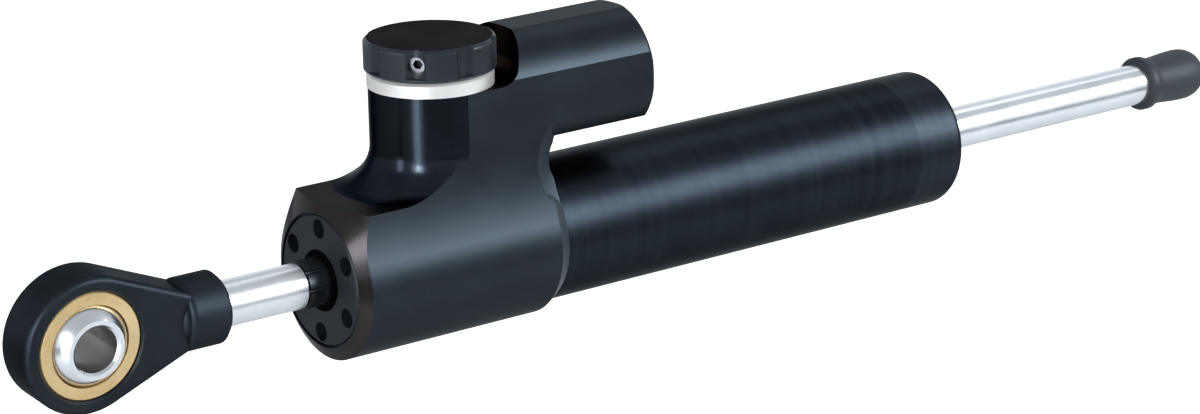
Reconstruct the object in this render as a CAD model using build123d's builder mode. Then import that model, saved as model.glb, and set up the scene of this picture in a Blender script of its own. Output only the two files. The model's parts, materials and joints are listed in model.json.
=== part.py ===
from build123d import *
from math import cos, radians, sin, sqrt, tan
import os

# Motorcycle steering damper with a through rod, a click adjuster and a side reservoir.
# X runs along the rod, away from the rod end. Z is up, along the adjuster.
# The origin is on the rod's axis, in the middle of the tube that a frame clamp holds.

# Fits and overruns
running_fit = 0.04         # radial gap of a rod, spindle or ball that moves
seat_fit = 0.02            # gap drawn between two pieces that stay together
thread_fit = 0.05
overrun = 5.0              # how far a cut runs past the work

# Lengths along the rod
tube_shown = 82.4          # bare tube between body and end cap
valve_setback = 24.15      # from the body's face to the valve's axis
tail_reach = 19.45         # from the valve's axis to the body's tail
cap_shown = 10.9
rod_shown = 58.0           # rod between end cap and bumper
bumper_length = 15.6
sleeve_length = 16.5
eye_setback = 26.1         # from the rod end's collar to its eye
body_length = valve_setback + tail_reach
tail_x = -tube_shown / 2
valve_x = tail_x - tail_reach
face_x = tail_x - body_length
seam_x = tube_shown / 2
cap_face_x = seam_x + cap_shown
bumper_x = cap_face_x + rod_shown

# Rod, tube and liner
rod_radius = 4.0
rod_edge = 0.5
tube_radius = 12.7
tube_thread_step = 0.7     # thread's radius below the tube's
tube_thread_wall = 1.3
tube_thread_length = 10.6
liner_gap = 0.7            # oil between tube and liner
liner_wall = 1.0
liner_hole_radius = 1.1
liner_hole_pairs = 2
liner_hole_setback = 10.2  # from the liner's rear end
tube_thread_radius = tube_radius - tube_thread_step
tube_bore = tube_thread_radius - tube_thread_wall
liner_radius = tube_bore - liner_gap
liner_bore = liner_radius - liner_wall

# Rod guide, which the front gland and the end cap both hold
guide_nose_radius = liner_bore - thread_fit
guide_nose_length = 6.0
bore_clearance = 0.25      # plain bore round the rod
washer_radius = 6.6
washer_thick = 1.0
seal_radius = 6.2
seal_length = 2.5
seal_lip_depth = 1.1
seal_lip_width = 0.45
bush_radius = 5.3
bush_length = 6.0
wiper_length = 2.2
wiper_lip_length = 0.8
wiper_lip_thick = 0.35

# Barrel of the body, and the front gland in it
barrel_wall = 1.5          # barrel outside the tube
bore_lip = 0.18
face_cone_angle = 30.0
tail_cone_angle = 30.0
annulus_step = 0.3
annulus_length = 6.1
gland_wall = 2.5           # barrel outside the gland
gland_length = 12.0
gland_rim_step = 0.34
gland_rim_depth = 0.8
gland_rim_chamfer = 0.25
recess_radius = 5.4
recess_depth = 5.0
pin_hole_radius = 1.7
pin_hole_depth = 2.5
pin_hole_inset = 2.5       # from the gland's outside
pin_hole_count = 6
pin_hole_phase = 31.5
barrel_radius = tube_radius + barrel_wall
tail_radius = tube_radius + thread_fit
tail_chamfer_length = (barrel_radius - tail_radius) / tan(radians(tail_cone_angle))
annulus_radius = tube_bore + annulus_step
gland_radius = barrel_radius - gland_wall
gland_rim_radius = gland_radius - gland_rim_step
pin_circle_radius = gland_radius - pin_hole_inset

# End cap
cap_spigot_length = 6.4
cap_lip_depth = 1.2
cap_edge = 1.5

# Rubber rings
oring_section = 1.8
oring_groove_width = 1.95
oring_groove_share = 0.78  # groove depth as a share of the ring's section
gland_oring_setback = 6.0
cap_oring_setback = 3.6
groove_depth = oring_section * oring_groove_share

# Flats, tower and neck of the body
flat_depth = 3.3           # side flats inside the barrel's outline
skirt_radius = 40.0
floor_drop = 0.9           # floor below the barrel's top
tower_inset = 0.05         # tower inside the side flats
tower_rise = 16.3          # tower's top above the barrel's
flare_radius = 7.0
scoop_radius = 15.2
scoop_fillet = 2.4
neck_arc_radius = 9.7
neck_arc_rise = 0.7        # arc's centre above the barrel's top
neck_inset = 5.15          # thinnest place of the web, from the tail
neck_lip_length = 4.2
half_width = barrel_radius - flat_depth
floor_z = barrel_radius - floor_drop
tower_radius = half_width - tower_inset
tower_top_z = barrel_radius + tower_rise
neck_arc_z = barrel_radius + neck_arc_rise

# Reservoir
reservoir_drop = 3.65      # reservoir's axis below the tower's top
reservoir_bulge = 0.9      # reservoir's radius past the side flats
reservoir_overhang = 20.7  # past the body's tail
reservoir_top_cut = 0.55
reservoir_bottom_cut = 4.35
reservoir_floor = 1.25     # wall between bore and bottom flat
reservoir_wall = 16.4      # from the valve's axis to the bore
reservoir_edge = 1.2       # rounding turned on the reservoir's end
port_radius = 0.9
riser_inset = 1.75         # from the tube's thread
float_length = 5.0
float_setback = 1.2
float_dish_depth = 2.2
float_wall = 2.16          # round the dish
plug_length = 4.5
plug_wall = 2.55           # round the recess
plug_recess_depth = 0.9
plug_socket_across = 4.0
plug_socket_depth = 1.8
plug_edge = 0.4
clip_thick = 1.0
clip_setback = 0.9         # from the reservoir's end
clip_depth = 0.6
clip_width = 1.6
clip_mouth = 4.0
clip_play = 0.06
reservoir_wire = 1.1
reservoir_coil_gap = 0.75  # between coil and bore
reservoir_coil_pitch = 3.6
reservoir_z = tower_top_z - reservoir_drop
reservoir_radius = half_width + reservoir_bulge
reservoir_top_flat = reservoir_radius - reservoir_top_cut
reservoir_bottom_flat = reservoir_radius - reservoir_bottom_cut
reservoir_bore = reservoir_bottom_flat - reservoir_floor
reservoir_coil_radius = reservoir_bore - reservoir_coil_gap - reservoir_wire / 2

# Valve under the adjuster
cartridge_radius = 7.0
cartridge_length = 8.5     # below the tower's top
cartridge_bore = 4.6
cartridge_oring_rise = 3.0
spigot_radius = 5.4
spigot_drop = 0.15         # spigot's top below the click ring's top
seat_radius = 6.0
seat_length = 7.4
orifice_radius = 1.0
orifice_length = 1.0
orifice_cone_height = 0.6
orifice_cone_radius = 1.6
chamber_radius = 2.0
chamber_height = 2.0
seat_groove_depth = 1.0
seat_hole_radius = 0.8
seat_hole_pairs = 2
thread_radius = 2.5
spindle_radius = 3.0
spindle_grip = 4.55        # spindle's length in the knob
drum_radius = 4.5
drum_rise = 1.0
drum_length = 4.4
drive_across = 2.4
drive_gap = 0.1
drive_socket_depth = 5.0
spindle_oring_drop = 0.8
spindle_oring_section = 0.95
needle_drop = 2.5          # needle's thread below the cartridge
needle_thread_length = 1.9
needle_neck_radius = 1.4
needle_neck_length = 2.1
needle_cone_length = 1.8
needle_tip_radius = 0.4
needle_drive_length = 4.6
cartridge_z = tower_top_z - cartridge_length
cartridge_oring_z = cartridge_z + cartridge_oring_rise
seat_z = cartridge_z - seat_length
drum_z = cartridge_z + drum_rise
drum_top_z = drum_z + drum_length
spindle_oring_z = tower_top_z - spindle_oring_drop
needle_thread_z = cartridge_z - needle_drop
needle_cone_z = needle_thread_z - needle_neck_length

# Click ring
ring_step = 0.15           # ring's radius past the tower's
ring_thick = 2.55
ring_bevel = 0.45
ring_bore_radius = 5.45
click_circle_radius = 8.2
click_count = 12
click_depth = 0.2
click_ball_radius = 1.0
click_ball_lift = 0.02     # ball clear of the lands as drawn
click_pocket_depth = 4.2
click_wire = 0.3
click_coil_radius = 0.8
click_coil_pitch = 0.45
ring_radius = tower_radius + ring_step
ring_top_z = tower_top_z + ring_thick

# Adjuster knob
knob_gap = 0.3
knob_step = 0.6            # knob's radius past the tower's
knob_height = 5.6
knob_edge = 0.9
knob_under_edge = 0.25
flute_count = 8
flute_depth = 0.8
flute_width = 3.9
flute_foot = 0.5           # plain rim under the flutes
flute_phase = -137.3       # the flute that holds the set screw
set_screw_radius = 1.5
set_screw_height = 2.8     # above the knob's underside
set_screw_across = 1.5
set_screw_socket_depth = 1.6
set_screw_sink = 1.1       # screw's face below the flute
knob_radius = tower_radius + knob_step
knob_z = ring_top_z + knob_gap
spindle_top_z = knob_z + spindle_grip

# Piston
piston_length = 9.0
piston_gap = 0.2           # piston's radius below the liner's bore
piston_setback = 33.7      # middle of the piston, in front of the cap's seam
band_width = 4.0
band_thick = 0.8
piston_oring_section = 1.2
piston_oring_width = 1.4
piston_clip_thick = 0.8
piston_clip_depth = 0.4
piston_clip_radius = 5.6
piston_clip_mouth = 4.0
piston_radius = liner_bore - piston_gap
piston_x = seam_x - piston_setback

# Coupler and sleeve between the rod and the rod end
stud_radius = 2.5
stud_grip = 9.0            # stud's length inside the rod end
coupler_reach = 4.5        # in front of the gland's face
coupler_length = 6.5
coupler_radius = 4.2
coupler_groove_count = 8
coupler_groove_radius = 0.42
coupler_groove_length = 2.9
sleeve_edge = 0.35
coupler_x = face_x - coupler_reach
rod_shoulder_x = coupler_x + coupler_length
collar_x = coupler_x - sleeve_length
eye_x = collar_x - eye_setback

# Rod end
eye_roll = 5.4
head_radius = 12.0
head_half_thick = 4.4
head_edge = 1.1
flank_angle = 67.5
shank_radius = 6.35
shank_length = 6.8
shank_chamfer = 0.75
cove_length = 3.1          # from the shank to the blade's flats
cove_round_share = 0.4     # share of the cove that is rounded outwards
cove_sink = 0.3            # cove's end below the blade's flats
blade_inset = 1.1          # blade's end inside the shank
race_radius = 9.5
race_half_width = 4.0
race_edge = 0.35
race_mouth_radius = 7.2
race_seat_bevel = 0.35
ball_radius = 7.9375
ball_half_width = 6.0
ball_bore = 4.0
ball_bore_bevel = 0.4

# Bumper on the rod's rear end
bumper_rim_radius = 5.3
bumper_rim_length = 1.6
bumper_rim_edge = 0.4
bumper_waist_radius = 4.7
bumper_waist_share = 0.34
bumper_bulge_radius = 5.05
bumper_bulge_share = 0.74
bumper_end_radius = 2.9
bumper_floor = 3.6

# Places that follow from the sizes above
gland_end_x = face_x + gland_length
gland_nose_x = gland_end_x + guide_nose_length
cap_shoulder_x = seam_x - cap_spigot_length
cap_nose_x = cap_shoulder_x - guide_nose_length
thread_x = tail_x - tube_thread_length
annulus_x = thread_x - annulus_length
barrel_end_x = tail_x - tail_chamfer_length
reservoir_end_x = tail_x + reservoir_overhang
reservoir_bore_x = valve_x + reservoir_wall
float_x = reservoir_bore_x + float_setback
clip_x = reservoir_end_x - clip_setback - clip_thick
plug_x = clip_x - plug_length
chamber_z = seat_z + orifice_length + orifice_cone_height
seat_groove_z = chamber_z + chamber_height / 2
rod_tip_x = bumper_x + bumper_length - bumper_floor
roof_z = reservoir_z + reservoir_radius + overrun

tower_axis = Axis((valve_x, 0, 0), (0, 0, 1))
tower_plane = Plane(origin=(valve_x, 0, 0), x_dir=(1, 0, 0), z_dir=(0, -1, 0))
reservoir_axis = Axis((0, 0, reservoir_z), (1, 0, 0))
reservoir_plane = Plane(origin=(0, 0, reservoir_z), x_dir=(1, 0, 0), z_dir=(0, 0, 1))
eye_normal = (0, -cos(radians(eye_roll)), -sin(radians(eye_roll)))
eye_plane = Plane(origin=(eye_x, 0, 0), x_dir=(1, 0, 0), z_dir=eye_normal)
eye_section_plane = Plane(origin=(eye_x, 0, 0), x_dir=(1, 0, 0), z_dir=(0, -eye_normal[2], eye_normal[1]))
eye_axis = Axis((eye_x, 0, 0), eye_normal)


def turn(corners, plane=Plane.XY, axis=Axis.X, mode=Mode.ADD):
    """Turn a half section, given by its corners on a plane, about an axis."""
    with BuildSketch(plane) as section:
        with BuildLine():
            Polyline(*corners, close=True)
        make_face()
    revolve(section.sketch, axis=axis, mode=mode)


def turn_ring(centre, section_size, plane=Plane.XY, axis=Axis.X):
    """Turn a ring of round section, with its section's centre given on a plane."""
    with BuildSketch(plane) as section:
        with Locations(centre):
            Circle(section_size / 2)
    revolve(section.sketch, axis=axis)


def bore(plane, radius, depth, both=False):
    """Cut a round hole that starts on a plane and runs along its normal."""
    with BuildSketch(plane) as section:
        Circle(radius)
    extrude(section.sketch, amount=depth, both=both, mode=Mode.SUBTRACT)


def snap_ring(start_x, thick, outer, inner, mouth, height=0):
    """Add a flat ring about the X direction, with an open mouth on its upper side."""
    with BuildSketch(Plane.YZ.offset(start_x)) as section:
        with Locations((0, height)):
            Circle(outer)
            Circle(inner, mode=Mode.SUBTRACT)
        with Locations((0, height + outer)):
            Rectangle(mouth, 2 * outer - inner, mode=Mode.SUBTRACT)
    extrude(section.sketch, amount=thick)


def wind(start, way, radius, wire, pitch, rise):
    """Wind round wire on a helix whose centre line rises along a direction."""
    with BuildLine() as path:
        Helix(pitch, rise, radius, center=start, direction=way)
    with BuildSketch(Plane(origin=path.line @ 0, z_dir=path.line % 0)) as section:
        Circle(wire / 2)
    sweep(section.sketch, path=path.line, is_frenet=True)


def groove(start, width, radius, depth):
    """Corners of a groove in an outline that runs along increasing stations."""
    end = start + width
    return [(start, radius), (start, radius - depth), (end, radius - depth), (end, radius)]


class RodGuide:
    """Stations of washer, seal, bush and wiper in a guide whose nose points along the way, +1 or -1."""

    def __init__(self, name, nose, way, face, lip):
        self.name = name
        self.nose = nose
        self.way = way
        self.face = face
        self.washer = nose - way * (washer_thick + seat_fit)
        self.seal = self.washer - way * (seal_length + seat_fit)
        self.bush = self.seal - way * (bush_length + seat_fit)
        self.wiper_out = face + way * lip
        self.wiper_in = self.wiper_out + way * (wiper_length + seat_fit)

    def bore_corners(self, mouth_radius):
        """Corners of the stepped bore, from the nose to the outer face."""
        plain = rod_radius + bore_clearance
        return [
            (self.nose, washer_radius), (self.washer, washer_radius),
            (self.washer, seal_radius), (self.seal, seal_radius),
            (self.seal, bush_radius), (self.bush, bush_radius),
            (self.bush, plain), (self.wiper_in, plain),
            (self.wiper_in, seal_radius), (self.wiper_out, seal_radius),
            (self.wiper_out, mouth_radius), (self.face, mouth_radius),
        ]


front_guide = RodGuide("front", gland_nose_x, 1, face_x, recess_depth)
rear_guide = RodGuide("rear", cap_nose_x, -1, cap_face_x, cap_lip_depth)

# Web between barrel, tower and reservoir: a section along X, trimmed by the side view
skirt_z = sqrt((skirt_radius + barrel_radius) ** 2 - (skirt_radius + half_width) ** 2)
skirt_share = barrel_radius / (barrel_radius + skirt_radius)
skirt_foot = ((skirt_radius + half_width) * skirt_share, skirt_z * skirt_share)
neck_centre_x = tail_x - neck_inset + neck_arc_radius
neck_low_z = neck_arc_z - sqrt(neck_arc_radius**2 - (neck_centre_x - barrel_end_x) ** 2)
neck_foot_z = neck_arc_z - sqrt(neck_arc_radius**2 - (neck_centre_x - tail_x) ** 2)
neck_lip_depth = neck_lip_length * tan(radians(tail_cone_angle))
neck_lip_x = neck_centre_x - neck_arc_radius + neck_lip_length
lip_side = half_width - neck_lip_depth
cut_side = barrel_radius + overrun

with BuildPart() as web:
    with BuildSketch(Plane.YZ.offset(face_x)):
        with BuildLine():
            Polyline((0, tower_top_z), (half_width, tower_top_z), (half_width, skirt_z))
            TangentArc((half_width, skirt_z), skirt_foot, tangent=(0, -1))
            Line(skirt_foot, (0, 0))
            mirror(about=Plane.YZ)
        make_face()
    extrude(amount=body_length)
    with BuildSketch(Plane.XZ):
        with BuildLine():
            Polyline(
                (barrel_end_x, neck_low_z), (barrel_end_x, 0), (face_x, 0), (face_x, tower_top_z),
                (tail_x, tower_top_z), (tail_x, neck_foot_z), close=True,
            )
        make_face()
    extrude(amount=cut_side, both=True, mode=Mode.INTERSECT)
    # Hollow behind the neck, coned out to the side flats
    neck_edge_x = neck_centre_x - neck_arc_radius
    turn(
        [
            (neck_centre_x, -cut_side), (neck_edge_x, -cut_side), (neck_edge_x, -half_width),
            (neck_lip_x, -lip_side), (neck_lip_x, lip_side), (neck_edge_x, half_width),
            (neck_edge_x, cut_side), (neck_centre_x, cut_side),
        ],
        Plane.XY.offset(neck_arc_z), Axis((neck_centre_x, 0, neck_arc_z), (0, 1, 0)), Mode.SUBTRACT,
    )

with BuildPart() as reservoir:
    with BuildSketch(Plane.YZ.offset(valve_x)):
        with Locations((0, reservoir_z)):
            Circle(reservoir_radius)
        with Locations((0, reservoir_z + (reservoir_top_flat - reservoir_bottom_flat) / 2)):
            Rectangle(2 * half_width, reservoir_top_flat + reservoir_bottom_flat, mode=Mode.INTERSECT)
    extrude(amount=reservoir_end_x - valve_x)
    with BuildSketch(reservoir_plane):
        with BuildLine():
            RadiusArc(
                (reservoir_end_x - reservoir_edge, reservoir_radius),
                (reservoir_end_x, reservoir_radius - reservoir_edge), reservoir_edge,
            )
            Polyline(
                (reservoir_end_x, reservoir_radius - reservoir_edge),
                (reservoir_end_x, reservoir_radius + overrun),
                (reservoir_end_x - reservoir_edge, reservoir_radius + overrun),
                (reservoir_end_x - reservoir_edge, reservoir_radius),
            )
        make_face()
    revolve(axis=reservoir_axis, mode=Mode.SUBTRACT)

slant_top = Vector(reservoir_bore_x + port_radius, 0, reservoir_z - reservoir_bore + 2 * port_radius)
slant_foot = Vector(valve_x + seat_radius - seat_groove_depth, 0, seat_groove_z)
slant = slant_top - slant_foot
riser_x = thread_x - riser_inset
riser_top_z = slant_foot.Z + slant.Z * (riser_x - slant_foot.X) / slant.X
front_bore = gland_radius + thread_fit
cone_foot = front_bore + bore_lip
cone_reach = 2 * barrel_radius
cone_depth = (cone_reach - cone_foot) * tan(radians(face_cone_angle))
flare_foot = -tower_radius - flare_radius
flare_top_z = floor_z + flare_radius
cutter_reach = valve_setback + barrel_radius
scoop_floor = scoop_radius - scoop_fillet
scoop_wall_z = tower_top_z + scoop_fillet
sleeve_bore = liner_radius + seat_fit
thread_bore = tube_thread_radius + thread_fit
seat_bore = seat_radius + thread_fit
valve_bore = cartridge_radius + thread_fit

with BuildPart() as body_housing:
    with BuildSketch(Plane.YZ.offset(face_x)):
        Circle(barrel_radius)
    extrude(amount=body_length)
    tail_edge = edges().filter_by(GeomType.CIRCLE).sort_by(Axis.X)[-1]
    chamfer(tail_edge, length=tail_chamfer_length, length2=barrel_radius - tail_radius)
    add(web.part)
    add(reservoir.part)
    # Turned flare round the front half of the tower
    with BuildSketch(Plane.YZ.offset(valve_x)):
        with BuildLine():
            Polyline(
                (flare_foot, floor_z), (-cutter_reach, floor_z), (-cutter_reach, roof_z),
                (-tower_radius, roof_z), (-tower_radius, flare_top_z),
            )
            TangentArc((-tower_radius, flare_top_z), (flare_foot, floor_z), tangent=(0, -1))
        make_face()
    revolve(axis=Axis((valve_x, 0, 0), (0, 0, -1)), revolution_arc=180, mode=Mode.SUBTRACT)
    # Cone round the front face
    turn([
        (face_x, cone_foot), (face_x - overrun, cone_foot), (face_x - overrun, cone_reach),
        (face_x + cone_depth, cone_reach),
    ], mode=Mode.SUBTRACT)
    # Scoop round the knob
    with BuildSketch(tower_plane):
        with BuildLine():
            Polyline(
                (scoop_radius, scoop_wall_z), (scoop_radius, roof_z), (0, roof_z),
                (0, tower_top_z), (scoop_floor, tower_top_z),
            )
            TangentArc((scoop_floor, tower_top_z), (scoop_radius, scoop_wall_z), tangent=(1, 0))
        make_face()
    revolve(axis=tower_axis, mode=Mode.SUBTRACT)
    # Main bore
    turn([
        (face_x - overrun, 0), (face_x - overrun, front_bore), (gland_end_x, front_bore),
        (gland_end_x, sleeve_bore), (annulus_x, sleeve_bore), (annulus_x, annulus_radius),
        (thread_x, annulus_radius), (thread_x, thread_bore), (tail_x + overrun, thread_bore),
        (tail_x + overrun, 0),
    ], mode=Mode.SUBTRACT)
    # Bore for the valve
    turn([
        (0, seat_z), (seat_bore, seat_z), (seat_bore, cartridge_z), (valve_bore, cartridge_z),
        (valve_bore, roof_z), (0, roof_z),
    ], tower_plane, tower_axis, Mode.SUBTRACT)
    # Bore for the floating piston, with the snap ring's groove
    turn([
        (reservoir_bore_x, 0), (reservoir_bore_x, reservoir_bore), (clip_x - clip_play, reservoir_bore),
        (clip_x - clip_play, reservoir_bore + clip_depth),
        (clip_x + clip_thick + clip_play, reservoir_bore + clip_depth),
        (clip_x + clip_thick + clip_play, reservoir_bore), (reservoir_end_x + overrun, reservoir_bore),
        (reservoir_end_x + overrun, 0),
    ], reservoir_plane, reservoir_axis, Mode.SUBTRACT)
    # Oil ports: orifice to front chamber, annulus to riser, seat groove to reservoir
    bore(Plane((valve_x, 0, 0)), port_radius, seat_z + seat_fit)
    bore(Plane((riser_x, 0, 0)), port_radius, riser_top_z)
    bore(Plane(origin=slant_top, z_dir=-slant), port_radius, slant.length)

with BuildPart() as front_gland:
    turn(
        [
            (face_x, gland_rim_radius - gland_rim_chamfer),
            (face_x + gland_rim_chamfer, gland_rim_radius),
            (face_x + gland_rim_depth, gland_rim_radius), (face_x + gland_rim_depth, gland_radius),
        ]
        + groove(face_x + gland_oring_setback, oring_groove_width, gland_radius, groove_depth)
        + [(gland_end_x, gland_radius), (gland_end_x, guide_nose_radius), (gland_nose_x, guide_nose_radius)]
        + front_guide.bore_corners(recess_radius)
    )
    with BuildSketch(Plane.YZ.offset(face_x)):
        with PolarLocations(pin_circle_radius, pin_hole_count, start_angle=pin_hole_phase):
            Circle(pin_hole_radius)
    extrude(amount=pin_hole_depth, mode=Mode.SUBTRACT)

cap_spigot_radius = tube_bore - thread_fit
with BuildPart() as end_cap:
    turn(
        [
            (cap_nose_x, guide_nose_radius), (cap_shoulder_x, guide_nose_radius),
            (cap_shoulder_x, cap_spigot_radius),
        ]
        + groove(seam_x - cap_oring_setback, oring_groove_width, cap_spigot_radius, groove_depth)
        + [(seam_x, cap_spigot_radius), (seam_x, tube_radius), (cap_face_x, tube_radius)]
        + rear_guide.bore_corners(recess_radius)[::-1]
    )
    outer_rim = faces().sort_by(Axis.X)[-1].edges().sort_by(SortBy.RADIUS)[-1]
    fillet(outer_rim, radius=cap_edge)

with BuildPart() as damper_tube:
    turn([
        (thread_x, tube_bore), (thread_x, tube_thread_radius), (tail_x, tube_thread_radius),
        (tail_x, tube_radius), (seam_x, tube_radius), (seam_x, tube_bore),
    ])

liner_start_x = gland_end_x + seat_fit
liner_end_x = cap_shoulder_x - seat_fit
with BuildPart() as cylinder_liner:
    with BuildSketch(Plane.YZ.offset(liner_start_x)):
        Circle(liner_radius)
        Circle(liner_bore, mode=Mode.SUBTRACT)
    extrude(amount=liner_end_x - liner_start_x)
    bore(Plane((valve_x, 0, 0)), port_radius, liner_radius)
    for pair in range(liner_hole_pairs):
        turned_by = radians(180 * pair / liner_hole_pairs)
        hole_way = (0, sin(turned_by), cos(turned_by))
        hole_plane = Plane((liner_end_x - liner_hole_setback, 0, 0), z_dir=hole_way)
        bore(hole_plane, liner_hole_radius, liner_radius, True)

# Rubber rings between fixed pieces fill the room between a groove's floor and the bore round it
fixed_ring_room = groove_depth + thread_fit
fixed_ring = fixed_ring_room - 2 * seat_fit
with BuildPart() as front_gland_oring:
    ring_x = face_x + gland_oring_setback + oring_groove_width / 2
    turn_ring((ring_x, front_bore - fixed_ring_room / 2), fixed_ring)
with BuildPart() as end_cap_oring:
    ring_x = seam_x - cap_oring_setback + oring_groove_width / 2
    turn_ring((ring_x, tube_bore - fixed_ring_room / 2), fixed_ring)

# What each guide holds round the rod
guide_pieces = {}
rod_fit = rod_radius + running_fit
seal_outer = seal_radius - seat_fit
lip_middle = (rod_fit + seal_outer) / 2
for guide in (front_guide, rear_guide):
    gap = guide.way * seat_fit
    with BuildPart() as seal_washer:
        plain = rod_radius + bore_clearance
        outer = washer_radius - seat_fit
        turn([
            (guide.washer + gap, plain), (guide.washer + gap, outer), (guide.nose, outer),
            (guide.nose, plain),
        ])
    with BuildPart() as rod_seal:
        lip_floor = guide.washer - guide.way * seal_lip_depth
        turn([
            (guide.seal + gap, rod_fit), (guide.seal + gap, seal_outer), (guide.washer, seal_outer),
            (guide.washer, lip_middle + seal_lip_width), (lip_floor, lip_middle),
            (guide.washer, lip_middle - seal_lip_width), (guide.washer, rod_fit),
        ])
    with BuildPart() as rod_bush:
        outer = bush_radius - seat_fit
        turn([
            (guide.bush + gap, rod_fit), (guide.bush + gap, outer), (guide.seal, outer),
            (guide.seal, rod_fit),
        ])
    with BuildPart() as wiper:
        lip_x = guide.wiper_out - guide.way * wiper_lip_length
        turn([
            (lip_x, rod_fit), (lip_x, rod_fit + wiper_lip_thick),
            (guide.wiper_out, rod_fit + wiper_lip_thick), (guide.wiper_out, seal_outer),
            (guide.wiper_in - gap, seal_outer), (guide.wiper_in - gap, rod_fit),
        ])
    guide_pieces[f"{guide.name}_seal_washer"] = seal_washer
    guide_pieces[f"{guide.name}_rod_seal"] = rod_seal
    guide_pieces[f"{guide.name}_rod_bush"] = rod_bush
    guide_pieces[f"{guide.name}_wiper"] = wiper

# Valve: seat with its orifice, cartridge, spindle and needle
chamber_top_z = chamber_z + chamber_height
seat_groove_radius = seat_radius - seat_groove_depth
with BuildPart() as valve_seat:
    turn([
        (orifice_radius, seat_z), (seat_radius, seat_z), (seat_radius, chamber_z),
        (seat_groove_radius, chamber_z), (seat_groove_radius, chamber_top_z),
        (seat_radius, chamber_top_z), (seat_radius, cartridge_z), (thread_radius, cartridge_z),
        (thread_radius, chamber_top_z), (chamber_radius, chamber_top_z), (chamber_radius, chamber_z),
        (orifice_cone_radius, chamber_z), (orifice_radius, seat_z + orifice_length),
    ], tower_plane, tower_axis)
    for pair in range(seat_hole_pairs):
        turned_by = radians(180 * pair / seat_hole_pairs)
        hole_way = (cos(turned_by), sin(turned_by), 0)
        bore(Plane((valve_x, 0, seat_groove_z), z_dir=hole_way), seat_hole_radius, seat_radius, True)

spigot_top_z = ring_top_z - spigot_drop
spindle_bore = spindle_radius + running_fit
cartridge_groove_z = cartridge_oring_z - oring_groove_width / 2
cartridge_groove_radius = cartridge_radius - groove_depth
with BuildPart() as valve_cartridge:
    turn([
        (cartridge_bore, cartridge_z), (cartridge_radius, cartridge_z),
        (cartridge_radius, cartridge_groove_z), (cartridge_groove_radius, cartridge_groove_z),
        (cartridge_groove_radius, cartridge_groove_z + oring_groove_width),
        (cartridge_radius, cartridge_groove_z + oring_groove_width), (cartridge_radius, tower_top_z),
        (spigot_radius, tower_top_z), (spigot_radius, spigot_top_z), (spindle_bore, spigot_top_z),
        (spindle_bore, drum_top_z + drive_gap), (cartridge_bore, drum_top_z + drive_gap),
    ], tower_plane, tower_axis)
with BuildPart() as cartridge_oring:
    turn_ring((valve_bore - fixed_ring_room / 2, cartridge_oring_z), fixed_ring, tower_plane, tower_axis)

spindle_groove_radius = spindle_radius - spindle_oring_section * oring_groove_share
spindle_groove_half = spindle_oring_section / 2
with BuildPart() as adjuster_spindle:
    turn([
        (0, drum_z), (drum_radius, drum_z), (drum_radius, drum_top_z), (spindle_radius, drum_top_z),
        (spindle_radius, spindle_oring_z - spindle_groove_half),
        (spindle_groove_radius, spindle_oring_z - spindle_groove_half),
        (spindle_groove_radius, spindle_oring_z + spindle_groove_half),
        (spindle_radius, spindle_oring_z + spindle_groove_half),
        (spindle_radius, spindle_top_z), (0, spindle_top_z),
    ], tower_plane, tower_axis)
    with BuildSketch(Plane((valve_x, 0, drum_z))):
        RegularPolygon(drive_across / 2 + drive_gap / 2, 6, major_radius=False)
    extrude(amount=drive_socket_depth, mode=Mode.SUBTRACT)
with BuildPart() as spindle_oring:
    spindle_ring_room = spindle_bore - spindle_groove_radius
    ring_centre = (spindle_bore - spindle_ring_room / 2, spindle_oring_z)
    turn_ring(ring_centre, spindle_ring_room - 2 * seat_fit, tower_plane, tower_axis)

needle_top_z = needle_thread_z + needle_thread_length
needle_tip_z = needle_cone_z - needle_cone_length
needle_thread_radius = thread_radius - running_fit
with BuildPart() as metering_needle:
    turn([
        (0, needle_tip_z), (needle_tip_radius, needle_tip_z), (needle_neck_radius, needle_cone_z),
        (needle_neck_radius, needle_thread_z), (needle_thread_radius, needle_thread_z),
        (needle_thread_radius, needle_top_z), (0, needle_top_z),
    ], tower_plane, tower_axis)
    with BuildSketch(Plane((valve_x, 0, needle_top_z))):
        RegularPolygon(drive_across / 2, 6, major_radius=False)
    extrude(amount=needle_drive_length)

# Click ring, with a dimple under the ball at every click
click_angle = flute_phase + 180
with BuildPart() as click_ring:
    turn([
        (ring_bore_radius, tower_top_z), (ring_radius, tower_top_z), (ring_radius, ring_top_z - ring_bevel),
        (ring_radius - ring_bevel, ring_top_z), (ring_bore_radius, ring_top_z),
    ], tower_plane, tower_axis)
    with Locations((valve_x, 0, ring_top_z + click_ball_radius - click_depth)):
        with PolarLocations(click_circle_radius, click_count, start_angle=click_angle):
            Sphere(click_ball_radius, mode=Mode.SUBTRACT)

click_x = valve_x + click_circle_radius * cos(radians(click_angle))
click_y = click_circle_radius * sin(radians(click_angle))
click_ball_z = ring_top_z + click_ball_radius + click_ball_lift
click_pocket_z = knob_z + click_pocket_depth
with BuildPart() as click_ball:
    with Locations((click_x, click_y, click_ball_z)):
        Sphere(click_ball_radius)
with BuildPart() as click_spring:
    low_z = click_ball_z + click_ball_radius + click_wire / 2 + click_ball_lift
    high_z = click_pocket_z - click_wire / 2 - click_ball_lift
    rise = high_z - low_z
    wind((click_x, click_y, low_z), (0, 0, 1), click_coil_radius, click_wire, click_coil_pitch, rise)

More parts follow.
